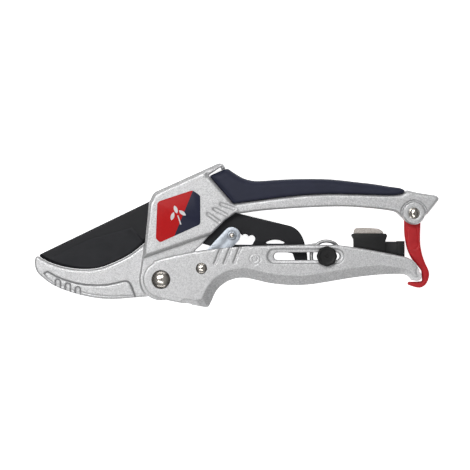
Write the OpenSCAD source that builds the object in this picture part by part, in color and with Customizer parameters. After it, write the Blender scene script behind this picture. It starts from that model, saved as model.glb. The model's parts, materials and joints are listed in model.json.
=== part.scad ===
// Ratchet anvil pruning shears, locked shut and lying on their back.
// +X runs from the jaw to the handle ends, +Y from the lower handle to the upper one, +Z up off the table.
// The origin is on the table, under the main bolt's axis.

/* [Overall] */
// Length from the tip of the jaw to the end of the upper handle
tool_len = 202; // [168:1:243]

/* [Blade and jaw] */
// Thickness of the blade and of its ratchet tail
blade_t = 3.2; // [2.4:0.1:4]
// Running clearance on each face of the blade
blade_gap = 0.15; // [0.08:0.01:0.3]
// Gap between the closed cutting edge and the jaw
edge_gap = 0.25; // [0.2:0.05:0.5]
// Thickness of the curved jaw
jaw_t = 7.0; // [5:0.5:9]
// Radius of the blade's pivot pin
blade_pin_r = 3.5; // [2.5:0.1:4.2]
// Running clearance of a pin in its bore
pin_gap = 0.05; // [0.02:0.01:0.1]

/* [Castings] */
// Thickness of the head across both cheeks
head_t = 17.0; // [16.5:0.5:19]
// Thickness of the head where the lower handle straddles it
strip_t = 10.0; // [9.6:0.1:11]
// Thickness of the bare part of the upper handle
upper_t = 16.4; // [14:0.2:17]
// Wall of each cheek of the lower handle
cheek_t = 2.8; // [2:0.1:3.4]
// Room for a washer between the head and each cheek
washer_room = 0.4; // [0.3:0.05:0.8]
// Thickness of the web that closes the bottom of the lower handle
web_t = 2.8; // [2:0.2:3.4]

/* [Grip] */
// Thickness of the casting's rib inside the grip
rib_t = 9.0; // [7:0.5:12]
// Depth of grip rubber above the rib
grip_cover = 2.4; // [1.6:0.2:3]

/* [Main bolt] */
// Outer radius of the sleeve nut that everything turns on
sleeve_r = 4.0; // [3.4:0.1:4.6]
// How far the bolt's head and the nut's flange reach past the sleeve
head_lip = 0.7; // [0.4:0.1:1.6]
// Radius of the bolt's shank inside the sleeve
bolt_r = 2.5; // [1.8:0.1:2.8]
// Height of the bolt's dome
bolt_dome = 2.0; // [1.2:0.1:2.6]

/* [Ratchet link] */
// Half width of each link plate
link_r = 4.25; // [3.6:0.05:4.8]
// Room between each link plate and the cheek outside it
link_room = 0.7; // [0.4:0.05:1.2]
// Radius of the link pin's shank
link_pin_r = 2.0; // [1.5:0.1:2.4]
// Radius of the ratchet pin
ratchet_pin_r = 1.2; // [0.9:0.05:1.4]
// Radius of the window's notches
notch_r = 1.75; // [1.68:0.01:1.9]
// Play of the ratchet pin in its first notch, which lets the handles turn
notch_play = 1.0; // [0.9:0.05:1.2]

/* [Tension slide] */
// Half height of the long slot
slot_r = 1.9; // [1.7:0.05:2.4]
// Running clearance of the post in the slot
slide_gap = 0.15; // [0.08:0.01:0.3]
// Radius of the knob, over its lobes
knob_r = 5.6; // [4.6:0.1:6.4]
// Height of the knob
knob_h = 3.2; // [2.4:0.1:4]
// Mean radius of the return spring's coil at the first size
coil_r = 7.6; // [6.4:0.1:9.2]
// Radius of the return spring's wire
coil_wire = 0.85; // [0.6:0.05:1]

/* [Catch] */
// Thickness of the catch
catch_t = 5.0; // [4:0.2:7]
// Radius of the catch's rivet
rivet_r = 2.0; // [1.4:0.1:2.6]
// Thickness of the hook's lip
lip_t = 3.0; // [2.2:0.2:3.4]

/* [Hidden] */
$fn = 64;

u = tool_len / 202;              // how much the plan is larger than the first size
pin_b = [9, 26] * u;             // blade pivot
pin_l = [20.2, 5.6] * u;         // link pin on the lower handle
pin_n = [35.4, 22] * u;          // ratchet pin
pin_k = [82.7, 11.6] * u;        // post of the tension slide
pin_c = [126.2, 33] * u;         // catch rivet
blade_h = blade_t / 2;           // heights above the blade's middle plane
slot_h = blade_h + blade_gap;
jaw_h = jaw_t / 2;
head_h = head_t / 2;
strip_h = strip_t / 2;
cheek_z = strip_h + washer_room;
lower_h = cheek_z + cheek_t;
upper_h = upper_t / 2;
rest_z = max(lower_h + 0.8, head_h + 0.5, upper_h + 0.5);   // middle plane above the table
grip_h = rest_z;
rib_h = rib_t / 2;
hub_r = 10.5 * u;                // casting's hub round the main bolt
lower_hub_r = 9 * u;             // lower handle's hub
washer_t = washer_room * 0.8;
flange_t = rest_z - lower_h;     // flat heads that touch the table
bolt_cap_r = sleeve_r + head_lip;
link_z = blade_h + 0.3;
link_top = cheek_z - link_room;
link_coil_z = link_z - 0.7;
link_head_r = link_pin_r + 0.8;
link_dome = 1.2;
ring_t = 0.9;                    // retaining rings of the ratchet pin
ring_r = 2.35;
notch_step = [3.3, -0.55];       // from one ratchet notch to the next
slide_r = slot_r - slide_gap;
slide_foot_r = slide_r + 1.4;
coil = coil_r * u;
tail_end = 82.7 - coil_r - coil_wire - 0.85;   // right end of the blade's tail at the first size
coil_z = cheek_z - coil_wire - 0.55;
spool_r = 4.3;
rivet_head_r = rivet_r + 0.9;
rivet_dome = 0.9;
rivet_half_w = 1.9;              // half width of the rivet's upset head
boss_r = 5.65 * u;               // boss round the catch rivet
catch_gap = 0.3;                 // each side of the catch in its slot
catch_h = catch_t / 2;
lip_reach = 34.2 * u;            // inside of the hook's lip from the rivet
lip_tip = 2;                     // how far the lip runs past the rivet's line
slot_from = 58.3;                // ends of the long slot, to the centres of its round ends
slot_to = 87.6;
recess = 0.5;                    // depth of sunk details
front_skin = 1.4;                // casting left over the end of the blade pin

// A smooth curve through points, without its last point
function cubic(a, b, c, d, t) =
  0.5 * (2 * b + (c - a) * t + (2 * a - 5 * b + 4 * c - d) * t * t + (3 * b - a - 3 * c + d) * t * t * t);
function curve(p, n = 4) = [
  for (i = [0 : len(p) - 2], k = [0 : n - 1])
    cubic(p[max(i - 1, 0)], p[i], p[i + 1], p[min(i + 2, len(p) - 1)], k / n)
];
function arc(c, r, from, to, n = 16) = [
  for (i = [0 : n]) let (a = from + (to - from) * i / n) c + r * [cos(a), sin(a)]
];
function shift(p, by) = [for (q = p) q + by];
function unit(v) = v / norm(v);
function left_of(p, i) =
  let (d = unit(p[min(i + 1, len(p) - 1)] - p[max(i - 1, 0)])) [-d.y, d.x];
// A band of even width along a line of points
function band(p, w) = concat(
  [for (i = [0 : len(p) - 1]) p[i] + left_of(p, i) * w / 2],
  [for (i = [len(p) - 1 : -1 : 0]) p[i] - left_of(p, i) * w / 2]
);

module plate(z0, z1, points) {
  translate([0, 0, z0]) linear_extrude(z1 - z0) polygon(points * u);
}
module disc(spot, r, z0, z1) {
  translate([spot.x, spot.y, z0]) cylinder(r = r, h = z1 - z0);
}
module both_sides() {
  children();
  mirror([0, 0, 1]) children();
}
module lift() {
  translate([0, 0, rest_z]) children();
}
module dome(spot, r, h, z) {
  ball = (r * r + h * h) / (2 * h);
  translate([spot.x, spot.y, z]) intersection() {
    translate([0, 0, h - ball]) sphere(ball, $fn = 96);
    cylinder(r = r, h = h);
  }
}
// A straight groove with round ends
module capsule(from, to, r, z0, z1) {
  run = to - from;
  a = atan2(run.y, run.x);
  translate([0, 0, z0]) linear_extrude(z1 - z0)
    polygon(concat(arc(from, r, a + 90, a + 270, 12), arc(to, r, a - 90, a + 90, 12)));
}

// Outlines, in millimetres at the first size
cut_edge = [
  [-61.1, 11.6], [-56.9, 9.0], [-51.1, 6.9], [-45, 5.6], [-39, 5.1], [-33, 5.4],
  [-28, 6.7], [-22.4, 9], [-17.9, 11.2], [-13.5, 14], [-8.1, 18.4], [-5, 20.5]
];
blade_outline = concat(
  curve(cut_edge),
  curve([[-5, 20.5], [3, 18.3], [12, 17.6], [20.5, 17.9]], 3),
  [[20.5, 17.9], [24.3, 16.8]],
  curve([[25.2, 15.2], [44, 15], [60, 13.8], [65.8, 13]], 2),
  curve([[65.8, 13], [66.8, 10], [67.6, 7.2]], 2),
  curve([[67.6, 7.2], [70.5, 6.2], [tail_end, 7.2]], 3),
  curve([[tail_end, 7.2], [tail_end - 0.4, 13], [tail_end - 1.5, 17.9], [70.5, 21.6], [68.6, 24.3], [65.9, 26.3], [63, 27.2]]),
  curve([[63, 27.2], [54.6, 29.2], [45.7, 31.3], [38.7, 33.1]], 2),
  curve([[38.7, 33.1], [30, 34.6], [20, 38], [9, 40.8], [-1, 40.8], [-5.7, 39.1]], 3),
  [[-5.7, 39.1]],
  [[-60.6, 12.6]]
);
jaw_outline = concat(
  shift(curve(cut_edge), [0, -edge_gap / u]),
  [[-5, 12], [0, 6], [0, -6]],
  curve([[-6, -8.6], [-12.8, -9.1], [-23.5, -9.9], [-33, -9.3], [-43.9, -6.8], [-53.8, -3], [-60.2, 1.6]], 3),
  curve([[-60.2, 1.6], [-62.4, 4.2], [-63.4, 8.2], [-62.8, 11.1], [-61.8, 11.8]], 3),
  [[-61.8, 11.8]]
);
panel_line = concat(
  curve([[-58.4, 2.8], [-56.9, 3.9], [-52.4, 1.4], [-47.9, -0.4], [-38, -2.7], [-27.3, -2.8], [-18.4, -0.9]], 3),
  curve([[-18.4, -0.9], [-16.1, -1.4], [-14.8, -3.5], [-12.8, -9.4]], 3)
);
grip_lower = [
  [36.1, 37.8], [45.7, 39.1], [59.1, 40.9], [72.5, 42.3], [84.5, 42.8], [96, 42.6], [107, 42.3],
  [115, 42.1], [119.5, 42.5]
];
grip_upper = [
  [121.8, 44.4], [119.6, 45.6], [114.6, 46.3], [105.7, 47.7], [96.8, 48.7], [84.5, 50], [70, 50.2],
  [59.1, 49.8], [50, 49.2], [45.7, 49.3], [41.2, 50.5], [36.8, 53], [33.6, 55.2]
];
grip_outline = concat(
  curve(grip_lower, 3),
  [[119.5, 42.5]],
  [[121.4, 43.3]],
  curve(grip_upper, 3),
  [[33.6, 55.2], [32.3, 55.3], [24, 51.7]]
);
underside = [
  [37.5, 33.4], [39.5, 33], [50, 34.4], [63.5, 35.4], [77, 36.1], [92.3, 36.4], [105.7, 35.5],
  [114.6, 34.4], [118, 33.2], [121.4, 30]
];
upper_outline = concat(
  [[-8.8, 11], [25, 22.6], [32.1, 29.7]],
  curve(underside, 3),
  [[121.4, 30], [130, 29.6], [134.2, 34], [138.2, 39.2]],
  curve([[138.2, 39.2], [138.8, 40.3], [137.9, 41.6], [136.2, 42.2]], 2),
  [[136.2, 42.2], [128, 43.4], [122.6, 44.7], [121.8, 43.6]],
  [for (i = [len(grip_lower) - 1 : -1 : 0]) grip_lower[i] - [0, 0.1]],
  [[23.8, 51.9], [32.2, 55.6], [31.7, 56.8]],
  curve([[31.7, 56.8], [30.4, 57.9], [28.6, 58]], 2),
  [[28.6, 58], [-3, 43.7], [-4, 42.6], [-5.8, 38.9]]
);
rib_outline = concat(
  [[30, 50], [31, 35.5], [60, 37], [90, 38], [116.5, 37]],
  [[116.5, 43.4]],
  curve([for (i = [3 : 11]) grip_upper[i] - [0, grip_cover]], 2),
  [[36.8, 50.6]]
);
head_slot = [
  [-9.6, 16.9], [-1, 14.3], [8, 9.5], [12, 6.5], [60, 6.5], [60, 33], [44, 34.2], [38, 35.4],
  [26, 39], [14, 44], [8.5, 48], [8.5, 70], [-25, 70]
];
lower_outline = concat(
  arc([0, 0], lower_hub_r / u, 250, 118),
  curve([[-3.5, 9.4], [4.5, 11.6], [16.6, 14], [30.5, 15.7], [44.5, 16.7], [60, 17.2], [85.5, 17.3],
    [95.5, 16.3], [108, 14.1], [122.2, 11.3]], 3),
  curve([[122.2, 11.3], [125.8, 9.5], [128.2, 6.2], [130.2, 2.3]], 2),
  curve([[130.2, 2.3], [129.9, 0.2], [128, -0.8], [125.2, -0.4]], 2),
  curve([[125.2, -0.4], [123.6, 1.5], [120.6, 2.5], [110, 2.4], [96.8, 1], [83.4, -1.2], [73, -2.7],
    [63.5, -2.8], [54.6, -1.9], [45.7, 0.1], [41.2, 0.8], [36.8, 0.3], [32.3, -1.5], [27.9, -5.4],
    [25, -11.4]], 3),
  curve([[25, -11.4], [23.6, -13.7], [20.2, -13.6], [5, -10.8]], 2),
  [[5, -10.8], [-2, -8.9]]
);
web_inner = [
  [129.4, 3.2], [123, 5], [110, 5.2], [96.8, 3.8], [83.4, 1.6], [73, 0.2], [63.5, 0], [54.6, 0.9],
  [45.7, 2.9], [40, 3.5], [34, 2.4], [28, -1.4], [23.4, -8.6], [15.5, -9.4]
];
web_mask = concat([[131, -16], [131, 3.2]], web_inner, [[14.5, -16]]);
web_rise = (web_t - 2.8) / u;

// Upper casting: jaw, forked head, upper handle and the catch's boss, all one piece
module upper_body() {
  color("silver") lift() difference() {
    union() {
      plate(-jaw_h, jaw_h, jaw_outline);
      disc([0, 0], hub_r, -strip_h, strip_h);
      plate(-strip_h, strip_h, [[-8.8, 11.5], [-10.4, 1], [10.4, 1], [17, 14.5], [20.2, 17.4], [23.4, 21.2],
        [26, 24], [24, 32], [-6, 32]]);
      intersection() {
        plate(-head_h, head_h, upper_outline);
        plate(-head_h, head_h, [[-12, 8], [38, 8], [38, 35], [34, 40.4], [23.6, 52.2], [38, 62], [-12, 62]]);
      }
      intersection() {
        plate(-upper_h, upper_h, upper_outline);
        plate(-upper_h, upper_h, [[30, 28], [145, 24], [145, 50], [30, 60]]);
      }
      disc(pin_c, boss_r, -upper_h, upper_h);
      plate(-rib_h, rib_h, rib_outline);
    }
    plate(-slot_h, slot_h, head_slot);
    disc([0, 0], sleeve_r + pin_gap, -strip_h - 1, strip_h + 1);
    disc(pin_b, blade_pin_r, -head_h - 1, head_h - front_skin);
    disc(pin_b, blade_pin_r + 2.1, -head_h - 1, -head_h + 1.5);
    plate(-catch_h - catch_gap, catch_h + catch_gap,
      [[118.6, 20], [150, 20], [150, 38.6], [133, 39], [119.6, 38.4]]);
    disc(pin_c, rivet_r, -upper_h - 1, upper_h + 1);
    both_sides() {
      plate(jaw_h - recess, jaw_h + 1, band(panel_line, 0.9));
      for (i = [0 : 2]) capsule(([-51.6, -1.2] + i * [5, -1.9]) * u, ([-51.6, -8] + i * [5, -1.9]) * u, 1.2,
        jaw_h - recess, jaw_h + 1);
      for (i = [0 : 2]) capsule(([23.6, 32.6] + i * [3.3, 2.5]) * u, ([29.2, 28.7] + i * [3.5, 3.4]) * u, 0.8,
        head_h - recess, head_h + 1);
    }
  }
}

// Soft grip moulded over the rib on the back of the upper handle
module upper_grip() {
  color("#2f3244") lift() difference() {
    plate(-grip_h, grip_h, grip_outline);
    plate(-rib_h, rib_h, rib_outline);
  }
}

module front_label() {
  color("#c00b10") lift() plate(head_h, head_h + 0.25, concat(
    curve([[-1.8, 37.6], [-1, 38.9], [0.6, 39.5]], 3),
    curve([[14.2, 44], [15.9, 44.3], [17.2, 43.5]], 3),
    curve([[18.6, 42.6], [19.5, 41.6], [19.6, 40.2]], 3),
    curve([[19.7, 29.4], [19.5, 27.8], [18.2, 26.8]], 3),
    curve([[1.6, 19.4], [-0.2, 18.7], [-1.6, 19.4]], 3),
    [[-2.5, 20.6]]
  ));
}

// Pin pressed in from the rear; its flat head sits in the rear cheek and the front cheek covers its end
module blade_pin() {
  color("dimgray") lift() {
    disc(pin_b, blade_pin_r, -head_h + 0.2, head_h - front_skin - 0.05);
    disc(pin_b, blade_pin_r + 2, -head_h + 0.1, -head_h + 1.5);
  }
}

module main_bolt() {
  color("lightgray") lift() {
    disc([0, 0], bolt_r, -lower_h + 1, lower_h + 0.01);
    dome([0, 0], bolt_cap_r, bolt_dome, lower_h);
  }
}

module sleeve_nut() {
  color("gray") lift() difference() {
    union() {
      disc([0, 0], bolt_cap_r, -lower_h - flange_t, -lower_h);
      disc([0, 0], sleeve_r, -lower_h - flange_t, lower_h - 0.1);
    }
    disc([0, 0], bolt_r, -lower_h, lower_h + 1);
  }
}

module pivot_washers() {
  color("white") lift() both_sides() difference() {
    disc([0, 0], lower_hub_r - 0.6, strip_h, strip_h + washer_t);
    disc([0, 0], sleeve_r + pin_gap, 0, lower_h);
  }
}

module catch_rivet() {
  color("gray") lift() {
    disc(pin_c, rivet_r, -upper_h, upper_h + 0.01);
    intersection() {
      dome(pin_c, rivet_head_r, rivet_dome, upper_h);
      translate([pin_c.x - rivet_half_w, pin_c.y - 4, upper_h - 1]) cube([2 * rivet_half_w, 8, 3]);
    }
    disc(pin_c, rivet_head_r, -upper_h - 0.5, -upper_h);
  }
}

// Cutting blade with its notched, windowed ratchet tail, one steel plate
module blade() {
  color("#2a2b2d") lift() difference() {
    plate(-blade_h, blade_h, blade_outline);
    disc(pin_b, blade_pin_r + pin_gap, -blade_t, blade_t);
    disc(pin_n, ratchet_pin_r + notch_play, -blade_t, blade_t);
    for (i = [1 : 3]) disc(pin_n + i * notch_step * u, notch_r, -blade_t, blade_t);
    plate(-blade_t, blade_t, [[33.4, 22], [33.4, 17.4], [45.7, 17.4], [47, 20.3], [42, 20.9], [38.7, 21.4]]);
    translate([0, 0, -blade_t]) linear_extrude(2 * blade_t) intersection() {
      translate([57.1, 10.9] * u) circle(8.9 * u);
      translate([45, 17.9] * u) square([25, 5] * u);
    }
  }
}

// Lower handle: two cheeks round the head and the tail, closed by a web along the bottom
module lower_handle() {
  color("silver") lift() difference() {
    union() {
      both_sides() plate(cheek_z, lower_h, lower_outline);
      intersection() {
        plate(-cheek_z - 0.5, cheek_z + 0.5, lower_outline);
        translate([0, web_rise * u, 0]) plate(-cheek_z - 0.5, cheek_z + 0.5, web_mask);
      }
    }
    disc([0, 0], sleeve_r + pin_gap, -lower_h - 1, lower_h + 1);
    disc(pin_l, link_pin_r, -lower_h - 1, lower_h + 1);
    capsule([slot_from, 11.6] * u, [slot_to, 11.6] * u, slot_r, -lower_h - 1, lower_h + 1);
    both_sides() {
      capsule([56.6, 11.6] * u, [87.6, 11.6] * u, slot_r + 1.7, lower_h - recess, lower_h + 1);
      for (i = [0 : 2]) capsule(([30, 16.5] + i * [4.8, 0.3]) * u, ([26.9, 8] + i * [4.8, 0.3]) * u, 0.5,
        lower_h - recess, lower_h + 1);
    }
  }
}

module link_pin() {
  color("lightgray") lift() {
    disc(pin_l, link_pin_r, -lower_h, lower_h + 0.01);
    dome(pin_l, link_head_r, link_dome, lower_h);
    disc(pin_l, link_head_r, -lower_h - flange_t, -lower_h);
  }
}

// Thin spacers that keep the links off the cheeks
module link_pin_washers() {
  color("gray") lift() both_sides() difference() {
    disc(pin_l, link_pin_r + 1.6, link_top + 0.05, cheek_z - 0.05);
    disc(pin_l, link_pin_r + pin_gap, 0, lower_h);
  }
}

// Moulded holder that stands in the channel and carries the stone
module stone_holder() {
  color("#1e1e1e") lift() {
    plate(-5, 5, [[96.6, 9], [111.6, 9], [112.1, 19.4], [113, 21.8], [112.4, 22.9], [95.6, 22.9], [95.2, 21.9],
      [96.2, 20]]);
    plate(-3.9, 3.9, [[111.8, 11], [118.4, 11], [118.4, 18.9], [111.9, 18.9]]);
    plate(-4.2, 4.2, [[117.9, 8.6], [121.7, 8.6], [121.7, 19.2], [117.9, 19.2]]);
  }
}

module sharpening_stone() {
  color("#c9c0bb") lift() plate(-4.2, 4.2, concat(
    [[96.3, 22.9], [111.3, 22.9]],
    curve([[111.3, 22.9], [110.4, 24.4], [108.5, 25.4]], 2),
    curve([[108.5, 25.4], [102.6, 25.9], [97.4, 25.7]], 2),
    [[97.4, 25.7], [96.6, 24.6]]
  ));
}

module link_plate(z0, z1) {
  color("#b0b8c2") lift() difference() {
    capsule(pin_l, pin_n, link_r, z0, z1);
    disc(pin_l, link_pin_r + pin_gap, z0 - 1, z1 + 1);
    disc(pin_n, ratchet_pin_r, z0 - 1, z1 + 1);
  }
}
module front_link() {
  link_plate(link_z, link_top);
}
module rear_link() {
  link_plate(-link_top, -link_z);
}

module ratchet_pin() {
  color("dimgray") lift() disc(pin_n, ratchet_pin_r, -link_top - ring_t, link_top + ring_t);
}

// Rings on the ends of the ratchet pin, outside the links
module ratchet_pin_rings() {
  color("gray") lift() both_sides() difference() {
    disc(pin_n, ring_r, link_top, link_top + ring_t);
    disc(pin_n, ratchet_pin_r, 0, lower_h);
  }
}

// Wire swept along points, as rings of six or more sides
function cross_at(p, i, r, sides) =
  let (
    d = unit(p[min(i + 1, len(p) - 1)] - p[max(i - 1, 0)]),
    a = unit(cross(d, abs(d.z) < 0.9 ? [0, 0, 1] : [1, 0, 0])),
    b = cross(d, a)
  )
  [for (k = [0 : sides - 1]) p[i] + r * (a * cos(360 * k / sides) + b * sin(360 * k / sides))];
module wire(p, r, sides = 8) {
  n = len(p);
  rings = [for (i = [0 : n - 1]) each cross_at(p, i, r, sides)];
  walls = [
    for (i = [0 : n - 2], k = [0 : sides - 1])
      let (a = i * sides + k, b = i * sides + (k + 1) % sides) [a, a + sides, b + sides, b]
  ];
  first = [for (k = [0 : sides - 1]) k];
  last = [for (k = [sides - 1 : -1 : 0]) (n - 1) * sides + k];
  polyhedron(points = rings, faces = concat(walls, [first, last]), convexity = 6);
}
// Points of a coil that starts and ends with a straight leg
function coil_path(c, r, z0, z1, from, turns, leg_in, leg_out) = concat(
  [leg_in],
  [for (i = [0 : turns * 20]) let (a = from + i * 18, t = i / (turns * 20))
    [c.x + r * cos(a), c.y + r * sin(a), z0 + (z1 - z0) * t]],
  [leg_out]
);

// Small spring that presses the ratchet pin up into the notches
module link_spring() {
  color("gray") lift() wire(coil_path(pin_l, link_pin_r + 0.7, -link_coil_z, link_coil_z, 90, 2.5,
    [pin_l.x + 6, pin_l.y + link_pin_r + 0.9, -link_coil_z], [pin_l.x + 5, pin_l.y - 4.2, link_coil_z]), 0.3, 6);
}

// Strong spring that throws the handles open; its legs run along the top of the channel
module return_spring() {
  color("gray") lift() wire(coil_path(pin_k, coil, -coil_z, coil_z, 90, 3.5,
    [pin_k.x - 13 * u, pin_k.y + coil - 3.1, -coil_z], [pin_k.x + 9 * u, pin_k.y - coil + 1.4, coil_z]), coil_wire);
}

module slide_post() {
  color("gray") lift() {
    disc(pin_k, slide_r, -lower_h, lower_h + 0.6);
    disc(pin_k, slide_foot_r, -lower_h - flange_t, -lower_h + 0.01);
  }
}

module spring_spool() {
  color("gray") lift() difference() {
    disc(pin_k, spool_r, -cheek_z + 0.2, cheek_z - 0.2);
    disc(pin_k, slide_r, -lower_h, lower_h);
  }
}

// Knob with six round lobes and a sunk centre
module tension_knob() {
  color("#232323") lift() difference() {
    union() {
      disc(pin_k, knob_r - 0.9, lower_h + 0.1, lower_h + knob_h);
      for (i = [0 : 5]) disc(pin_k + (knob_r - 1.9) * [cos(60 * i + 30), sin(60 * i + 30)], 1.9,
        lower_h + 0.1, lower_h + knob_h - 0.4);
    }
    disc(pin_k, slide_r, lower_h - 1, lower_h + 0.6);
    disc(pin_k, 2.6, lower_h + knob_h - 0.5, lower_h + knob_h + 1);
  }
}

// Catch that hooks under the end of the lower handle
module lock_catch() {
  lip_top = (pin_c.y - lip_reach) / u;
  lip_low = (pin_c.y - lip_reach - lip_t) / u;
  color("#c23034") lift() difference() {
    union() {
      disc(pin_c, 4.8 * u, -catch_h, catch_h);
      plate(-catch_h, catch_h, concat(
        curve([[121.6, 31.4], [121.6, 25], [122, 20.7], [123.2, 15.2], [125.4, 10.4], [128.6, 6.6], [130.8, 3.6]], 3),
        arc(pin_c / u, lip_reach / u, 277.6, 266.4, 8),
        arc([pin_c.x / u - lip_tip, lip_top - 0.9], 0.9, 100, 225, 6),
        curve([[124.6, lip_low + 1.1], [127, lip_low + 0.3], [129.3, lip_low], [131.3, lip_low + 0.7],
          [132.9, lip_low + 2.3], [133.9, 0.6], [134.2, 2.8], [133.6, 5.2], [131.8, 9], [130.3, 14], [129.6, 20],
          [130, 31.5]], 3),
        [[130, 31.5]]
      ));
    }
    disc(pin_c, rivet_r + pin_gap, -catch_t, catch_t);
  }
}

upper_body();
upper_grip();
front_label();
blade_pin();
main_bolt();
sleeve_nut();
pivot_washers();
catch_rivet();
blade();
lower_handle();
link_pin();
link_pin_washers();
stone_holder();
sharpening_stone();
front_link();
rear_link();
ratchet_pin();
ratchet_pin_rings();
link_spring();
tension_knob();
slide_post();
spring_spool();
return_spring();
lock_catch();
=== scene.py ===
"""Ratchet pruning shears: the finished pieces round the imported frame, lying on a pale table."""
import json
import math

import bmesh
import bpy
import numpy as np
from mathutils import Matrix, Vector


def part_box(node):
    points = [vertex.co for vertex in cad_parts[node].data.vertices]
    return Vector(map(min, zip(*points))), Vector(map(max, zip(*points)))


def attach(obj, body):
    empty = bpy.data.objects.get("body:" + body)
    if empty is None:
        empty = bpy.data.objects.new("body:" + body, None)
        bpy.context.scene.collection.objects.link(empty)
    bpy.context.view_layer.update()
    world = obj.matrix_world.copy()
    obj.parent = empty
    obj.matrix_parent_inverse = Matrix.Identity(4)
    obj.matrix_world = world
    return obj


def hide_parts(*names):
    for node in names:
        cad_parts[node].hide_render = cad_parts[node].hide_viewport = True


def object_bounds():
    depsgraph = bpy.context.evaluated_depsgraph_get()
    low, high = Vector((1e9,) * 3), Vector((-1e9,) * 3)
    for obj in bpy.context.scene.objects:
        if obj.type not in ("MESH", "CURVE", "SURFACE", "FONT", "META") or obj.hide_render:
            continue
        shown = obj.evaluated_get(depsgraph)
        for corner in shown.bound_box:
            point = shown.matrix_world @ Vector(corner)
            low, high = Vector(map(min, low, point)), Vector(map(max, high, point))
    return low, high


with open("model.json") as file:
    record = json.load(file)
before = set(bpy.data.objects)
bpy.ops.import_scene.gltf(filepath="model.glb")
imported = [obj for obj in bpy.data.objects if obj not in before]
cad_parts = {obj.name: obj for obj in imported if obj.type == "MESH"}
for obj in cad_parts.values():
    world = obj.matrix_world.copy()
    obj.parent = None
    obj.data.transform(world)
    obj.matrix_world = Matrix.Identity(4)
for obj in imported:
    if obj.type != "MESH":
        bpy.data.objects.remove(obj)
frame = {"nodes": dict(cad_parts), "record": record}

CAD_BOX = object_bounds()
MM = 0.001
MIDDLE = (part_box("blade")[0].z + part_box("blade")[1].z) / 2   # middle plane of the blade


def centre(node):
    """Middle of a node's box, in metres."""
    low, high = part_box(node)
    return (low + high) / 2


BOLT = centre("main_bolt")
LINK_PIN = centre("link_pin")
POST = centre("slide_post")
RIVET = centre("catch_rivet")
GRIND_TOP = [((-53.0, 15.3), (-36.5, 19.9)), ((-36.5, 19.9), (-17.5, 29.2))]   # top of the ground face, in mm
GRIND_STOP = ((-17.5, 29.2), (-9.1, 19.9))


# ---------------------------------------------------------------- finishes

class Value:
    """A shader socket that can be used in sums."""

    def __init__(self, finish, socket):
        self.finish = finish
        self.socket = socket

    def sum(self, kind, *terms):
        return self.finish.node("ShaderNodeMath", {"operation": kind}, dict(enumerate(terms)))

    def __add__(self, other):
        return self.sum("ADD", self, other)

    def __radd__(self, other):
        return self.sum("ADD", other, self)

    def __sub__(self, other):
        return self.sum("SUBTRACT", self, other)

    def __rsub__(self, other):
        return self.sum("SUBTRACT", other, self)

    def __mul__(self, other):
        return self.sum("MULTIPLY", self, other)

    def __rmul__(self, other):
        return self.sum("MULTIPLY", other, self)

    def __truediv__(self, other):
        return self.sum("DIVIDE", self, other)


class Finish:
    """One material under a maker's name, with its shader and the object's own coordinates."""

    def __init__(self, name, **fixed):
        self.material = bpy.data.materials.new(name)
        self.material.use_nodes = True
        self.tree = self.material.node_tree
        self.shader = self.tree.nodes["Principled BSDF"]
        for socket, value in fixed.items():
            self.shader.inputs[socket.replace("_", " ")].default_value = value
        self.place = self.node("ShaderNodeTexCoord", out="Object")

    def node(self, kind, settings=None, inputs=None, out=0):
        """Adds a node, sets it up, then fills its sockets with values or links."""
        made = self.tree.nodes.new(kind)
        for key, value in (settings or {}).items():
            if key == "stops":
                ramp = made.color_ramp
                while len(ramp.elements) < len(value):
                    ramp.elements.new(0.5)
                for stop, (at, colour) in zip(ramp.elements, value):
                    stop.position = at
                    stop.color = colour
            else:
                setattr(made, key, value)
        for key, value in (inputs or {}).items():
            if isinstance(value, Value):
                self.tree.links.new(value.socket, made.inputs[key])
            else:
                made.inputs[key].default_value = value
        return Value(self, made.outputs[out])

    def feed(self, **sockets):
        for socket, value in sockets.items():
            self.tree.links.new(value.socket, self.shader.inputs[socket.replace("_", " ")])
        return self.material

    def noise(self, size_mm, detail=3.0, rough=0.5, where=None):
        """Noise from 0 to 1 whose blotches are about size_mm across."""
        return self.node("ShaderNodeTexNoise", None, {
            "Vector": where or self.place, "Scale": 1.0 / (size_mm * MM), "Detail": detail, "Roughness": rough})

    def flakes(self, size_mm):
        """One random level for each flake of about size_mm."""
        cells = self.node("ShaderNodeTexVoronoi", None, {
            "Vector": self.place, "Scale": 1.0 / (size_mm * MM)}, out="Color")
        return self.node("ShaderNodeSeparateColor", None, {"Color": cells}, out="Red")

    def span(self, value, low, high, to_low, to_high):
        """Value mapped from one span to another and held at its ends."""
        return self.node("ShaderNodeMapRange", None, {
            "Value": value, "From Min": low, "From Max": high, "To Min": to_low, "To Max": to_high})

    def mix(self, factor, one, other):
        """Colours blended by a factor."""
        return self.node("ShaderNodeMix", {"data_type": "RGBA"}, {0: factor, 6: one, 7: other}, out=2)

    def bump(self, height, strength, distance_mm):
        return self.node("ShaderNodeBump", None, {
            "Height": height, "Strength": strength, "Distance": distance_mm * MM})

    def axes(self):
        """The three coordinates apart."""
        split = self.tree.nodes.new("ShaderNodeSeparateXYZ")
        self.tree.links.new(self.place.socket, split.inputs[0])
        return [Value(self, split.outputs[i]) for i in range(3)]


def grey(level, alpha=1.0):
    return (level, level, level, alpha)


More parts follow.
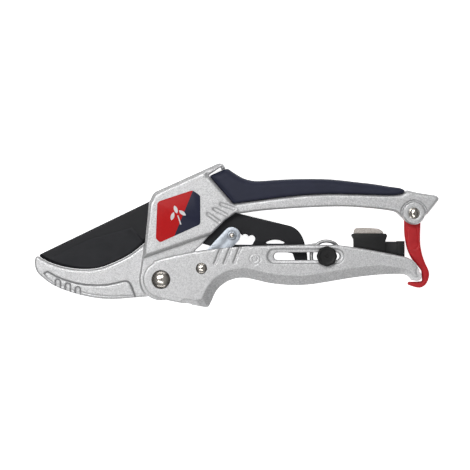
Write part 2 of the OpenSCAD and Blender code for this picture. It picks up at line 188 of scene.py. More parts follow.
def casting_finish():
    """Silver powder coat: pale grains, dark pits and a slight orange peel, with painted shade darkening the scored
    grooves.
    """
    f = Finish("silver_powder_coat", Metallic=0.55)
    grains = f.flakes(0.42) * 0.45 + f.noise(0.8, 4.0, 0.7) * 0.55
    cloud = f.noise(9.0, 2.0)
    colour = f.mix(f.span(grains, 0.28, 0.72, 0.0, 1.0), (0.52, 0.52, 0.525, 1), (0.77, 0.77, 0.775, 1))
    colour = f.mix(f.span(cloud, 0.3, 0.7, 0.0, 0.18), colour, (0.50, 0.50, 0.51, 1))
    # painted shade: the groove attribute darkens the colour in the scored grooves, standing in for the shade that
    # falls in them
    groove = f.node("ShaderNodeAttribute", {"attribute_name": "groove"}, out="Fac")
    colour = f.mix(groove * 0.8, colour, (0.13, 0.13, 0.135, 1))
    rough = f.span(grains, 0.2, 0.8, 0.50, 0.36) + groove * 0.2
    peel = f.noise(1.1, 3.0, 0.6) * 0.6 + grains * 0.4
    return f.feed(Base_Color=colour, Roughness=rough, Normal=f.bump(peel, 0.35, 0.09))


def blade_finish():
    """Satin black non-stick coat over steel, with the ground face a shade apart from the flat."""
    f = Finish("black_nonstick_coat", Metallic=0.2, Specular_IOR_Level=0.3)
    x, y, z = f.axes()

    def right_side(line, soft_mm):
        """1 to the right of a line, 0 to its left."""
        (ax, ay), (bx, by) = line
        run = math.hypot(bx - ax, by - ay)
        away = ((x / MM - ax) * (by - ay) - (y / MM - ay) * (bx - ax)) / run
        return f.span(away, -soft_mm, soft_mm, 0.0, 1.0)

    ground = (right_side(GRIND_TOP[0], 0.15) * right_side(GRIND_TOP[1], 0.15) * right_side(GRIND_STOP, 0.15))
    lines = f.node("ShaderNodeCombineXYZ", None, {"X": x * 0.06, "Y": y, "Z": z * 0.3})
    grind = f.noise(0.5, 3.0, 0.6, lines)
    cloud = f.noise(7.0, 3.0)
    flat = f.mix(f.span(cloud, 0.3, 0.7, 0.0, 1.0), (0.0100, 0.0102, 0.0125, 1), (0.0135, 0.0138, 0.0165, 1))
    face = f.mix(f.span(cloud + grind * 0.4, 0.4, 0.95, 0.0, 1.0), (0.0145, 0.0150, 0.0180, 1),
                 (0.0205, 0.0212, 0.0250, 1))
    rough = f.span(cloud, 0.3, 0.7, 0.40, 0.50) - ground * 0.06
    return f.feed(Base_Color=f.mix(ground, flat, face), Roughness=rough,
                  Normal=f.bump(grind * 0.5 + f.noise(0.35, 2.0) * 0.5, 0.12, 0.05))


def grip_finish():
    """Navy soft rubber with a fine moulded grain."""
    f = Finish("navy_soft_grip", Specular_IOR_Level=0.25)
    grain = f.noise(0.30, 2.0, 0.6)
    wear = f.noise(14.0, 4.0, 0.6)
    colour = f.mix(f.span(wear, 0.35, 0.7, 0.0, 1.0), (0.0220, 0.0250, 0.0470, 1), (0.0290, 0.0325, 0.0590, 1))
    return f.feed(Base_Color=colour, Roughness=f.span(wear, 0.3, 0.7, 0.50, 0.60),
                  Normal=f.bump(grain, 0.25, 0.06))


def plated_finish(name, dark, light, rough_low, rough_high, metallic=1.0):
    """Plated metal with faint turning marks and handling haze."""
    f = Finish(name, Metallic=metallic)
    haze = f.noise(2.2, 4.0, 0.65)
    fine = f.noise(0.22, 2.0, 0.5)
    colour = f.mix(f.span(haze, 0.3, 0.7, 0.0, 1.0), dark, light)
    return f.feed(Base_Color=colour, Roughness=f.span(haze, 0.3, 0.75, rough_low, rough_high),
                  Normal=f.bump(fine, 0.08, 0.03))


def moulded_finish(name, dark, light, rough_low, rough_high, grain_mm=0.35):
    """Moulded plastic with a spark-eroded grain and slight flow marks."""
    f = Finish(name, Specular_IOR_Level=0.3)
    flow = f.noise(6.0, 3.0, 0.55)
    grain = f.noise(grain_mm, 2.0, 0.6)
    colour = f.mix(f.span(flow, 0.3, 0.7, 0.0, 1.0), dark, light)
    return f.feed(Base_Color=colour, Roughness=f.span(flow, 0.3, 0.7, rough_low, rough_high),
                  Normal=f.bump(grain, 0.18, 0.05))


def stone_finish():
    """Pale warm abrasive, a mass of fine grit."""
    f = Finish("pale_grit", Roughness=0.9)
    grit = f.flakes(0.35)
    soft = f.noise(1.5, 3.0)
    colour = f.mix(f.span(grit * 0.6 + soft * 0.4, 0.2, 0.8, 0.0, 1.0), (0.50, 0.45, 0.41, 1), (0.72, 0.67, 0.63, 1))
    return f.feed(Base_Color=colour, Normal=f.bump(grit, 0.5, 0.08))


def label_finish():
    """Glossy label, red on the left and navy on the right of a slanting line, with plain white marks."""
    f = Finish("glossy_label", Roughness=0.36, Specular_IOR_Level=0.14)
    x, y, z = f.axes()
    low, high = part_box("front_label")
    top = (low.x + 0.83 * (high.x - low.x), high.y)
    foot = (low.x + 0.36 * (high.x - low.x), low.y)
    lean = (top[0] - foot[0]) / (top[1] - foot[1])
    across = (x - foot[0]) - (y - foot[1]) * lean
    side = f.span(across, -0.00008, 0.00008, 0.0, 1.0)
    speck = f.noise(1.2, 3.0, 0.6)
    red = f.mix(speck, (0.50, 0.0042, 0.0060, 1), (0.62, 0.0065, 0.0085, 1))
    navy = f.mix(speck, (0.0200, 0.0225, 0.0470, 1), (0.0270, 0.0300, 0.0580, 1))
    colour = f.mix(side, red, navy)
    middle = (low + high) / 2
    tilt = math.radians(19)
    along = (x - middle.x) * math.cos(tilt) + (y - middle.y) * math.sin(tilt)
    up = (y - middle.y) * math.cos(tilt) - (x - middle.x) * math.sin(tilt)

    def root(value):
        return f.node("ShaderNodeMath", {"operation": "SQRT"}, {0: value})

    def disc_mask(x_mm, y_mm, r_mm):
        dx = along - x_mm * MM
        dy = up - y_mm * MM
        return f.span(root(dx * dx + dy * dy), (r_mm - 0.06) * MM, (r_mm + 0.06) * MM, 1.0, 0.0)

    def leaf(x_mm, y_mm, angle, r_mm=2.9, apart_mm=2.0):
        """A plain leaf: where two circles overlap."""
        a = math.radians(angle)
        dx, dy = apart_mm * math.cos(a), apart_mm * math.sin(a)
        return disc_mask(x_mm + dx, y_mm + dy, r_mm) * disc_mask(x_mm - dx, y_mm - dy, r_mm)

    white = grey(0.80)
    for spot in ((-2.6, 0.9, -35), (2.6, 0.9, 35), (0.0, 3.6, 0)):
        colour = f.mix(leaf(*spot), colour, white)
    side_way = f.node("ShaderNodeMath", {"operation": "ABSOLUTE"}, {0: along})
    stem = f.span(side_way, 0.22 * MM, 0.34 * MM, 1.0, 0.0) * f.span(up, 0.4 * MM, 0.6 * MM, 1.0, 0.0)
    stem = stem * f.span(up, -4.4 * MM, -4.2 * MM, 0.0, 1.0)
    colour = f.mix(stem, colour, white)
    return f.feed(Base_Color=colour, Normal=f.bump(speck, 0.04, 0.04))


def table_finish():
    """Matt white table top with the faintest mottle."""
    f = Finish("white_table", Roughness=0.75)
    f.shader.inputs["Emission Color"].default_value = grey(1.0)
    f.shader.inputs["Emission Strength"].default_value = 0.85
    return f.feed(Base_Color=f.mix(f.noise(60.0, 2.0), grey(0.90), grey(0.93)))


FINISH = {
    "casting": casting_finish(),
    "grip": grip_finish(),
    "label": label_finish(),
    "blade": blade_finish(),
    "chrome": plated_finish("nickel_plate", (0.60, 0.555, 0.50, 1), (0.74, 0.70, 0.65, 1), 0.16, 0.26),
    "zinc": plated_finish("blue_zinc_plate", (0.40, 0.44, 0.49, 1), (0.58, 0.62, 0.68, 1), 0.34, 0.48, 0.75),
    "spring": plated_finish("drawn_wire", (0.42, 0.42, 0.42, 1), (0.60, 0.60, 0.60, 1), 0.28, 0.40),
    "black_plastic": moulded_finish("black_moulding", (0.0060, 0.0060, 0.0063, 1), (0.0110, 0.0110, 0.0115, 1),
                                    0.42, 0.56),
    "red_plastic": moulded_finish("red_moulding", (0.50, 0.012, 0.018, 1), (0.62, 0.020, 0.026, 1), 0.38, 0.50),
    "stone": stone_finish(),
    "nylon": moulded_finish("white_nylon", (0.62, 0.62, 0.60, 1), (0.72, 0.72, 0.70, 1), 0.4, 0.5),
}
SLOT_OF = {part["node"]: part["material_slot"] for part in frame["record"]["subparts"]}
BODY_OF = {node: body for body, nodes in frame["record"]["behaviour"]["bodies"].items() for node in nodes}


# ---------------------------------------------------------------- mesh tools

def add_object(name, mesh):
    obj = bpy.data.objects.new(name, mesh)
    bpy.context.scene.collection.objects.link(obj)
    return obj


def welded_copy(node, name):
    """A copy of a CAD node with its loose triangles joined up."""
    mesh = frame["nodes"][node].data.copy()
    mesh.materials.clear()
    work = bmesh.new()
    work.from_mesh(mesh)
    bmesh.ops.remove_doubles(work, verts=work.verts, dist=2e-6)
    work.to_mesh(mesh)
    work.free()
    mesh.name = name
    return add_object(name, mesh)


def settle(obj):
    """Applies every modifier on the object."""
    seen = obj.evaluated_get(bpy.context.evaluated_depsgraph_get())
    mesh = bpy.data.meshes.new_from_object(seen)
    obj.modifiers.clear()
    old = obj.data
    obj.data = mesh
    bpy.data.meshes.remove(old)
    return obj


def modify(obj, kind, **settings):
    step = obj.modifiers.new(kind.lower(), kind)
    for key, value in settings.items():
        setattr(step, key, value)
    return settle(obj)


def points_of(obj):
    co = np.empty(len(obj.data.vertices) * 3, np.float64)
    obj.data.vertices.foreach_get("co", co)
    return co.reshape(-1, 3)


def put_points(obj, points):
    obj.data.vertices.foreach_set("co", points.astype(np.float32).ravel())
    obj.data.update()


def smooth_shade(obj, crease_deg=None):
    obj.data.polygons.foreach_set("use_smooth", [True] * len(obj.data.polygons))
    if crease_deg:
        obj.data.set_sharp_from_angle(angle=math.radians(crease_deg))
    return obj


def rims(obj, level, deep):
    """Rim segments of the flat faces at a height above the middle plane, where the wall drops by more than deep."""
    work = bmesh.new()
    work.from_mesh(obj.data)
    height = MIDDLE + level * MM
    near = 0.03 * MM

    def on_top(face):
        return face.normal.z > 0.98 and all(abs(v.co.z - height) < near for v in face.verts)

    found = []
    for edge in work.edges:
        if len(edge.link_faces) != 2:
            continue
        tops = [on_top(face) for face in edge.link_faces]
        if tops[0] == tops[1]:
            continue
        wall = edge.link_faces[1] if tops[0] else edge.link_faces[0]
        if height - min(v.co.z for v in wall.verts) > deep * MM:
            found.append([edge.verts[0].co.xy[:], edge.verts[1].co.xy[:]])
    work.free()
    return np.array(found)


def reach(points, segments, widths):
    """For each point, the smallest distance to a segment as a share of that segment's width."""
    best = np.full(len(points), 1e9)
    for (a, b), width in zip(segments, widths):
        low = np.minimum(a, b) - width
        high = np.maximum(a, b) + width
        near = np.nonzero(np.all((points > low) & (points < high), axis=1))[0]
        if not len(near):
            continue
        run = b - a
        t = np.clip((points[near] - a) @ run / max(run @ run, 1e-18), 0, 1)
        away = np.linalg.norm(points[near] - (a + t[:, None] * run), axis=1) / width
        best[near] = np.minimum(best[near], away)
    return best


def press_down(points, level, share, depth, round_over):
    """Lowers both faces near a rim: a flat chamfer, or a round edge."""
    above = points[:, 2] - MIDDLE
    height = level * MM
    for sign in (1, -1):
        z = above * sign
        inside = np.clip(1 - share, 0, 1)
        drop = (1 - np.sqrt(np.clip(1 - inside ** 2, 0, 1))) if round_over else inside
        limit = height - depth * MM * drop
        hit = (share < 1) & (z > limit) & (z < height + 0.05 * MM)
        points[hit, 2] = MIDDLE + sign * limit[hit]
        above = points[:, 2] - MIDDLE
    return points


def chain(points, closed=False):
    """Segments, in metres, of a line through points in mm."""
    ends = list(points) + ([points[0]] if closed else [])
    return np.array([[ends[i], ends[i + 1]] for i in range(len(ends) - 1)], float) * MM


def loop_round(start, end, r):
    """Outline of a round-ended groove."""
    a = math.atan2(end[1] - start[1], end[0] - start[0])
    points = []
    for centre_xy, turn in ((start, math.pi / 2), (end, -math.pi / 2)):
        for i in range(9):
            b = a + turn + math.pi * i / 8
            points.append((centre_xy[0] + r * math.cos(b), centre_xy[1] + r * math.sin(b)))
    return chain(points, closed=True)


def carve(points, lines):
    """Scores fine grooves into flat faces: lines holds (segments, level, half width, depth) in mm."""
    for segments, level, half, depth in lines:
        share = reach(points[:, :2], segments, np.full(len(segments), half * MM))
        up = (points[:, 2] - MIDDLE) / MM
        limit = level - depth * np.clip(1 - share ** 2, 0, 1)
        for sign in (1, -1):
            hit = (share < 1) & (up * sign > limit) & (up * sign < level + 0.1)
            points[hit, 2] = MIDDLE + sign * limit[hit] * MM
    return points


def shade_grooves(obj, lines):
    """Keeps how deep in a groove each point lies, for the finish to darken it as painted shade."""
    points = points_of(obj)
    groove_shade = np.zeros(len(points), np.float32)
    up = np.abs(points[:, 2] - MIDDLE) / MM
    for segments, level, half, depth in lines:
        share = reach(points[:, :2], segments, np.full(len(segments), half * 1.15 * MM))
        near = (share < 1) & (up > level - 1.2) & (up < level + 0.2)
        # painted shade: darker the deeper the groove and the nearer its middle
        groove_shade[near] = np.maximum(groove_shade[near], (1 - share[near] ** 2) * min(1, depth / 0.45))
    obj.data.attributes.new("groove", "FLOAT", "POINT").data.foreach_set("value", groove_shade)


def cast(node, name, voxel, edges, extra=None, passes=3, most=190000, lines=()):
    """A casting with true chamfers: the CAD shape remeshed, its rims pressed down, then smoothed.

    edges holds (level, least wall, depth, round_over, width) with width a number or a function of a rim's middle.
    """
    obj = welded_copy(node, name)
    found = [(level, depth, round_over, width, rims(obj, level, deep))
             for level, deep, depth, round_over, width in edges]
    modify(obj, "REMESH", mode="VOXEL", voxel_size=voxel * MM)
    points = points_of(obj)
    for level, depth, round_over, width, segments in found:
        if not len(segments):
            continue
        middles = segments.mean(axis=1) / MM
        widths = np.array([width(x, y) if callable(width) else width for x, y in middles]) * MM
        wanted = widths > 0
        share = reach(points[:, :2], segments[wanted], widths[wanted])
        points = press_down(points, level, share, depth, round_over)
    if extra:
        points = extra(points)
    put_points(obj, points)
    modify(obj, "REMESH", mode="VOXEL", voxel_size=voxel * MM)
    modify(obj, "SMOOTH", factor=0.5, iterations=passes)
    if lines:
        put_points(obj, carve(points_of(obj), lines))
    triangles = 2 * len(obj.data.polygons)
    if triangles > most:
        modify(obj, "DECIMATE", decimate_type="COLLAPSE", ratio=most / triangles)
    shade_grooves(obj, lines)
    return smooth_shade(obj)


def finish_piece(obj, node):
    """Gives a piece its finish, puts it in place of its CAD node and lets it ride on the body."""
    slot = SLOT_OF[node]
    obj.data.materials.clear()
    obj.data.materials.append(FINISH[slot])
    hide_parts(node)
    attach(obj, BODY_OF[node])
    return obj


def lathe(profile, at, sides=96):
    """A turned solid: profile holds (radius, height above the middle plane) in mm, from axis to axis."""
    work = bmesh.new()
    rings = []
    for r, z in profile:
        if r < 1e-6:
            rings.append([work.verts.new((at.x, at.y, MIDDLE + z * MM))])
        else:
            rings.append([
                work.verts.new((at.x + r * MM * math.cos(2 * math.pi * i / sides),
                                at.y + r * MM * math.sin(2 * math.pi * i / sides), MIDDLE + z * MM))
                for i in range(sides)])
    for low, high in zip(rings, rings[1:]):
        for i in range(sides):
            j = (i + 1) % sides
            if len(low) == 1:
                work.faces.new((low[0], high[j], high[i]))
            elif len(high) == 1:
                work.faces.new((low[i], low[j], high[0]))
            else:
                work.faces.new((low[i], low[j], high[j], high[i]))
    bmesh.ops.remove_doubles(work, verts=work.verts, dist=1e-7)
    bmesh.ops.recalc_face_normals(work, faces=work.faces)
    return work


def turned(name, profiles, at):
    """One object from one or more turned solids."""
    mesh = bpy.data.meshes.new(name)
    whole = bmesh.new()
    for profile in profiles:
        part = lathe(profile, at)
        piece = bpy.data.meshes.new("part")
        part.to_mesh(piece)
        part.free()
        whole.from_mesh(piece)
        bpy.data.meshes.remove(piece)
    whole.to_mesh(mesh)
    whole.free()
    return smooth_shade(add_object(name, mesh), 35)


def height_of(node):
    """Lowest and highest point of a node, in mm from the middle plane."""
    low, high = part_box(node)
    return (low.z - MIDDLE) / MM, (high.z - MIDDLE) / MM


def radius_of(node):
    low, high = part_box(node)
    return (high.x - low.x) / 2 / MM


# ---------------------------------------------------------------- castings

# flat faces of the castings, in mm from the middle plane
HEAD = height_of("front_label")[0]
CHEEK = height_of("lower_handle")[1]
JAW_LEVEL = 3.5
STRIP_LEVEL = 5.0
BOSS_R = 5.65        # boss round the catch's rivet, in mm
BOSS_RING = 0.95     # width of the sunk ring round it
BOSS_SINK = 1.6      # depth of that ring
LEAST_WALL = 1.2     # a rim counts where the wall under it drops by more than this, in mm
CAST_VOXEL = 0.31


def head_width(x, y):
    """Chamfer width round the head: wide on the ridge and the front edge, narrow elsewhere."""
    if math.hypot(x - 9, y - 26) < 8:
        return 0
    if x > 22 and y < 40:
        return 0.6
    if x > 24 and y > 50:
        return 0.4
    if y > 42.5 + 0.42 * x - 2:
        return 1.9
    return 1.25


def upper_details(points):
    """The sunk ring round the catch's boss."""
    from_boss = np.hypot(points[:, 0] - RIVET.x, points[:, 1] - RIVET.y) / MM
    up = np.abs(points[:, 2] - MIDDLE) / MM
    ring = (from_boss > BOSS_R) & (from_boss < BOSS_R + BOSS_RING) & (up > 6.0)
    side = np.sign(points[:, 2] - MIDDLE)
    points[ring, 2] = MIDDLE + side[ring] * (up[ring] - BOSS_SINK) * MM
    return points


# outlines scored round the jaw's panel and along its foot, in mm
JAW_PANEL = [(-58.4, 2.8), (-56.9, 3.9), (-52.4, 1.4), (-47.9, -0.4), (-43, -1.8), (-38, -2.7), (-32.6, -3.0),
             (-27.3, -2.8), (-22.6, -1.9), (-18.4, -0.9), (-16.9, -0.9), (-15.7, -1.9), (-14.8, -3.5),
             (-13.6, -6.6), (-12.8, -9.4)]
JAW_FOOT = [(-58.4, 2.8), (-56.4, 0.2), (-52.9, -2.0), (-43.0, -5.6), (-34.0, -7.6), (-26.0, -8.4), (-14.6, -8.2)]
upper_lines = [(chain(JAW_PANEL), JAW_LEVEL, 0.42, 0.5), (chain(JAW_FOOT), JAW_LEVEL, 0.34, 0.25)]
for i in range(3):
    upper_lines.append((loop_round((-51.6 + 5 * i, -1.2 - 1.9 * i), (-51.6 + 5 * i, -6.4 - 1.5 * i), 1.25),
                        JAW_LEVEL, 0.36, 0.45))
for i in range(3):
    upper_lines.append((loop_round((23.6 + 3.3 * i, 32.6 + 2.5 * i), (29.2 + 3.5 * i, 28.7 + 3.4 * i), 0.85),
                        HEAD, 0.34, 0.26))

upper = cast("upper_body", "upper_casting", CAST_VOXEL, [
    (HEAD, LEAST_WALL, 1.0, False, head_width),
    (CHEEK, LEAST_WALL, 1.4, True, lambda x, y: 1.5 if x < 118 or y < 38 else 2.0),
    (STRIP_LEVEL, LEAST_WALL, 0.4, True, 0.5),
    (JAW_LEVEL, LEAST_WALL, 0.6, False, 0.9),
], upper_details, lines=upper_lines)
finish_piece(upper, "upper_body")


def in_bore(x, y):
    """True on the rims of the pin holes and of the long slot, which stay sharp."""
    link_x, link_y = LINK_PIN.x / MM, LINK_PIN.y / MM
    return math.hypot(x, y) < 6 or math.hypot(x - link_x, y - link_y) < 3.5 or (54 < x < 92 and 7.6 < y < 15.6)


def slope_width(x, y):
    """Width of the broad slope along the finger side of the lower handle."""
    if y > 4.5 or x < 14 or in_bore(x, y):
        return 0
    if x < 24:
        return 2.2 + (x - 14) * 0.25
    if x < 108:
        return 5.0
    return max(2.2, 5.0 - (x - 108) * 0.17)


def rim_width(x, y):
    """Width of the rounded edge round the rest of the lower handle."""
    return 0 if in_bore(x, y) or slope_width(x, y) > 0 else 1.2


lower_lines = []
for i in range(3):
    lower_lines.append((loop_round((30 + 4.8 * i, 15.4 + 0.3 * i), (26.9 + 4.8 * i, 8 + 0.3 * i), 0.6),
                        CHEEK, 0.34, 0.22))
lower_lines.append((loop_round((56.6, 11.6), (87.6, 11.6), 3.6), CHEEK, 0.32, 0.3))
for r in (1.3, 2.7):
    lower_lines.append((loop_round((46.9, 10.2), (46.91, 10.2), r), CHEEK, 0.30, 0.14))
lower = cast("lower_handle", "lower_casting", CAST_VOXEL, [
    (CHEEK, LEAST_WALL, 2.9, False, slope_width),
    (CHEEK, LEAST_WALL, 0.8, True, rim_width),
], lines=lower_lines)
finish_piece(lower, "lower_handle")


# ---------------------------------------------------------------- blade

BLADE_HALF = 1.6     # half the blade's thickness, in mm


def right_of(x, y, line):
    """How far points lie to the right of a line, going from its first point to its second."""
    (ax, ay), (bx, by) = line
    run = math.hypot(bx - ax, by - ay)
    return ((x - ax) * (by - ay) - (y - ay) * (bx - ax)) / run


def blade_grind(points):
    """Grinds the cutting half: a slope from a line below the spine down to the edge."""
    x = points[:, 0] / MM
    y = points[:, 1] / MM
    below = np.minimum(right_of(x, y, GRIND_TOP[0]), right_of(x, y, GRIND_TOP[1]))
    before = right_of(x, y, GRIND_STOP)
    depth = np.clip(below / 0.5, 0, 1) * 0.14 + np.clip(below / 15, 0, 1) * 0.75
    depth = depth * np.clip(before / 0.8, 0, 1)
    limit = BLADE_HALF - depth
    up = (points[:, 2] - MIDDLE) / MM
    for sign in (1, -1):
        hit = (up * sign > limit) & (x < -4)
        points[hit, 2] = MIDDLE + sign * limit[hit] * MM
    return points


def blade_edge_rims(obj):
    """Rim segments of the cutting edge only."""
    found = rims(obj, height_of("blade")[1], LEAST_WALL)
    middles = found.mean(axis=1) / MM
    spine = 12.0 + (middles[:, 0] + 61.1) * 26.6 / 55.6
    return found[(middles[:, 0] < -6) & (middles[:, 1] < spine - 0.8)]


def make_blade():
    obj = welded_copy("blade", "coated_blade")
    edge = blade_edge_rims(obj)
    top = height_of("blade")[1]
    rest = rims(obj, top, LEAST_WALL)
    modify(obj, "REMESH", mode="VOXEL", voxel_size=0.36 * MM)
    points = points_of(obj)
    points = blade_grind(points)
    share = reach(points[:, :2], rest, np.full(len(rest), 0.35 * MM))
    points = press_down(points, top, share, 0.3, True)
    share = reach(points[:, :2], edge, np.full(len(edge), 1.3 * MM))
    up = (points[:, 2] - MIDDLE) / MM
    limit = 0.25 + 0.75 * np.clip(share, 0, 1)
    for sign in (1, -1):
        hit = (share < 1) & (up * sign > limit)
        points[hit, 2] = MIDDLE + sign * limit[hit] * MM
    put_points(obj, points)
    modify(obj, "SMOOTH", factor=0.3, iterations=1)
    return smooth_shade(obj, 24)


finish_piece(make_blade(), "blade")


# ---------------------------------------------------------------- grip, catch and mouldings

grip_top = height_of("upper_grip")[1]


def grip_width(x, y):
    """Width of the grip's rounding: broad along its back, narrow where it meets the casting."""
    return 3.2 if y > 44 + 0.02 * x else 0.8


grip = cast("upper_grip", "soft_grip", 0.5, [(grip_top, LEAST_WALL, 3.0, True, grip_width)], passes=5)
finish_piece(grip, "upper_grip")

catch_top = height_of("lock_catch")[1]
catch = cast("lock_catch", "red_catch", 0.26, [(catch_top, LEAST_WALL, 1.0, True, 1.3)],
             lines=[(loop_round((125.7, 24.6), (126.2, 17.4), 2.5), catch_top, 0.4, 0.22)])
finish_piece(catch, "lock_catch")


def bevelled(node, name, width, segments=3):
    """A CAD shape with its corners rounded."""
    obj = welded_copy(node, name)
    modify(obj, "DECIMATE", decimate_type="DISSOLVE", angle_limit=math.radians(1))
    modify(obj, "BEVEL", width=width * MM, segments=segments, limit_method="ANGLE",
           angle_limit=math.radians(35), use_clamp_overlap=True)
    modify(obj, "TRIANGULATE")
    return smooth_shade(obj, 30)


finish_piece(bevelled("stone_holder", "stone_holder_moulding", 0.5), "stone_holder")
finish_piece(bevelled("sharpening_stone", "abrasive_stone", 0.5), "sharpening_stone")
finish_piece(bevelled("front_link", "link_plate_front", 0.3), "front_link")
finish_piece(bevelled("rear_link", "link_plate_rear", 0.3), "rear_link")
finish_piece(bevelled("front_label", "front_label_skin", 0.08, 2), "front_label")


# ---------------------------------------------------------------- turned parts

SHANK_R = 2.5        # bolt's shank inside the sleeve nut, in mm
PIN_R = 2.0          # shanks of the link pin and the catch's rivet
SLEEVE_R = 4.0
RATCHET_R = 1.2
SLIDE_R = 1.75       # post through the long slot
RIVET_SQUASH = 0.64  # the rivet's head is hammered to an oval, this much of its width


def dome_profile(r, low, high, steps=14):
    """Outline of a domed head from its rim up to the axis."""
    rise = high - low
    ball = (r * r + rise * rise) / (2 * rise)
    out = []
    for i in range(steps + 1):
        x = r * math.cos(math.pi / 2 * i / steps)
        out.append((x if i < steps else 0.0, high - ball + math.sqrt(ball * ball - x * x)))
    return out


def domed(name, node, head_r, shank_r, seat, foot=None, foot_r=None):
    """A pin with a domed head, a straight shank and perhaps a flat foot."""
    low, high = height_of(node)
    start = [(0.0, low)]
    if foot is not None:
        start += [(foot_r - 0.25, low), (foot_r, low + 0.25), (foot_r, foot), (shank_r, foot)]
    else:
        start += [(shank_r - 0.2, low), (shank_r, low + 0.2)]
    profile = start + [(shank_r, seat), (head_r - 0.1, seat), (head_r, seat + 0.12)]
    profile += dome_profile(head_r, seat + 0.22, high)
    return turned(name, [profile], centre(node))


finish_piece(domed("bolt_domed", "main_bolt", radius_of("main_bolt"), SHANK_R, CHEEK), "main_bolt")
finish_piece(domed("link_pin_domed", "link_pin", radius_of("link_pin"), PIN_R, CHEEK, -CHEEK,
                   radius_of("link_pin")), "link_pin")
rivet = domed("catch_rivet_domed", "catch_rivet", radius_of("catch_rivet"), PIN_R, CHEEK, -CHEEK,
              radius_of("catch_rivet"))
upset = points_of(rivet)
over = upset[:, 2] > MIDDLE + (CHEEK + 0.05) * MM
upset[over, 0] = RIVET.x + (upset[over, 0] - RIVET.x) * RIVET_SQUASH
put_points(rivet, upset)
finish_piece(rivet, "catch_rivet")

nut_low, nut_high = height_of("sleeve_nut")
nut_r = radius_of("sleeve_nut")
finish_piece(turned("sleeve_nut_turned", [[
    (0.0, nut_low), (nut_r - 0.3, nut_low), (nut_r, nut_low + 0.3), (nut_r, -CHEEK), (SLEEVE_R, -CHEEK),
    (SLEEVE_R, nut_high), (2.52, nut_high), (2.52, nut_low + 0.8), (0.0, nut_low + 0.8),
]], centre("sleeve_nut")), "sleeve_nut")


def plain_node(node):
    """A CAD node that keeps its own mesh and takes its finish."""
    obj = frame["nodes"][node]
    obj.data.materials.clear()
    obj.data.materials.append(FINISH[SLOT_OF[node]])


for node in ("blade_pin", "pivot_washers", "link_pin_washers"):
    plain_node(node)

pin_low, pin_high = height_of("ratchet_pin")
finish_piece(turned("ratchet_pin_turned", [[
    (0.0, pin_low), (1.0, pin_low), (RATCHET_R, pin_low + 0.2), (RATCHET_R, pin_high - 0.6), (1.1, pin_high - 0.36),
    (0.85, pin_high - 0.16), (0.5, pin_high - 0.04), (0.0, pin_high),
]], centre("ratchet_pin")), "ratchet_pin")
ring_r = radius_of("ratchet_pin_rings")
ring_z = pin_high - 0.9
rings = []
for sign in (1, -1):
    rings.append([(r, z * sign) for r, z in (
        (RATCHET_R, ring_z), (ring_r - 0.15, ring_z), (ring_r, ring_z + 0.15), (ring_r, ring_z + 0.5),
        (ring_r - 0.35, ring_z + 0.82), (ring_r - 0.8, ring_z + 0.9), (1.35, ring_z + 0.78),
        (RATCHET_R, ring_z + 0.6), (RATCHET_R, ring_z))])
finish_piece(turned("ratchet_pin_collars", rings, centre("ratchet_pin_rings")), "ratchet_pin_rings")

spool_low, spool_high = height_of("spring_spool")
spool_r = radius_of("spring_spool")
finish_piece(turned("spool_moulding", [[
    (SLIDE_R, spool_low), (spool_r - 0.3, spool_low), (spool_r, spool_low + 0.3), (spool_r, spool_high - 0.3),
    (spool_r - 0.3, spool_high), (SLIDE_R, spool_high), (SLIDE_R, spool_low),
]], centre("spring_spool")), "spring_spool")
post_low, post_high = height_of("slide_post")
post_r = radius_of("slide_post")
finish_piece(turned("slide_post_turned", [[
    (0.0, post_low), (post_r - 0.25, post_low), (post_r, post_low + 0.25), (post_r, -CHEEK), (SLIDE_R, -CHEEK),
    (SLIDE_R, post_high), (0.0, post_high)]], centre("slide_post")), "slide_post")


def make_knob():
    """Eight-sided knob with soft corners, a stepped rim and a small centre dimple."""
    low, high = height_of("tension_knob")
    r = radius_of("tension_knob")
    sides = 128
    work = bmesh.new()

    def outline(i, scale):
        a = 2 * math.pi * i / sides
        lobes = 1 - 0.045 * (1 - math.cos(8 * a)) / 2
        return r * scale * lobes * math.cos(a), r * scale * lobes * math.sin(a)

    rows = [(0.90, low), (0.96, low + 0.2), (1.0, low + 0.7), (1.0, high - 0.9), (0.985, high - 0.5),
            (0.94, high - 0.2), (0.86, high - 0.03), (0.78, high), (0.74, high - 0.12), (0.60, high - 0.16),
            (0.30, high - 0.10), (0.16, high - 0.12), (0.12, high - 0.35)]
    rings = [[work.verts.new((POST.x + x * MM, POST.y + y * MM, MIDDLE + z * MM))
              for x, y in (outline(i, scale) for i in range(sides))] for scale, z in rows]
    for one, two in zip(rings, rings[1:]):
        for i in range(sides):
            j = (i + 1) % sides
            work.faces.new((one[i], one[j], two[j], two[i]))
    work.faces.new(rings[-1])
    work.faces.new(list(reversed(rings[0])))
    bmesh.ops.recalc_face_normals(work, faces=work.faces)
    mesh = bpy.data.meshes.new("knob_moulding")
    work.to_mesh(mesh)
    work.free()
    return smooth_shade(add_object("knob_moulding", mesh), 40)


finish_piece(make_knob(), "tension_knob")


# ---------------------------------------------------------------- springs

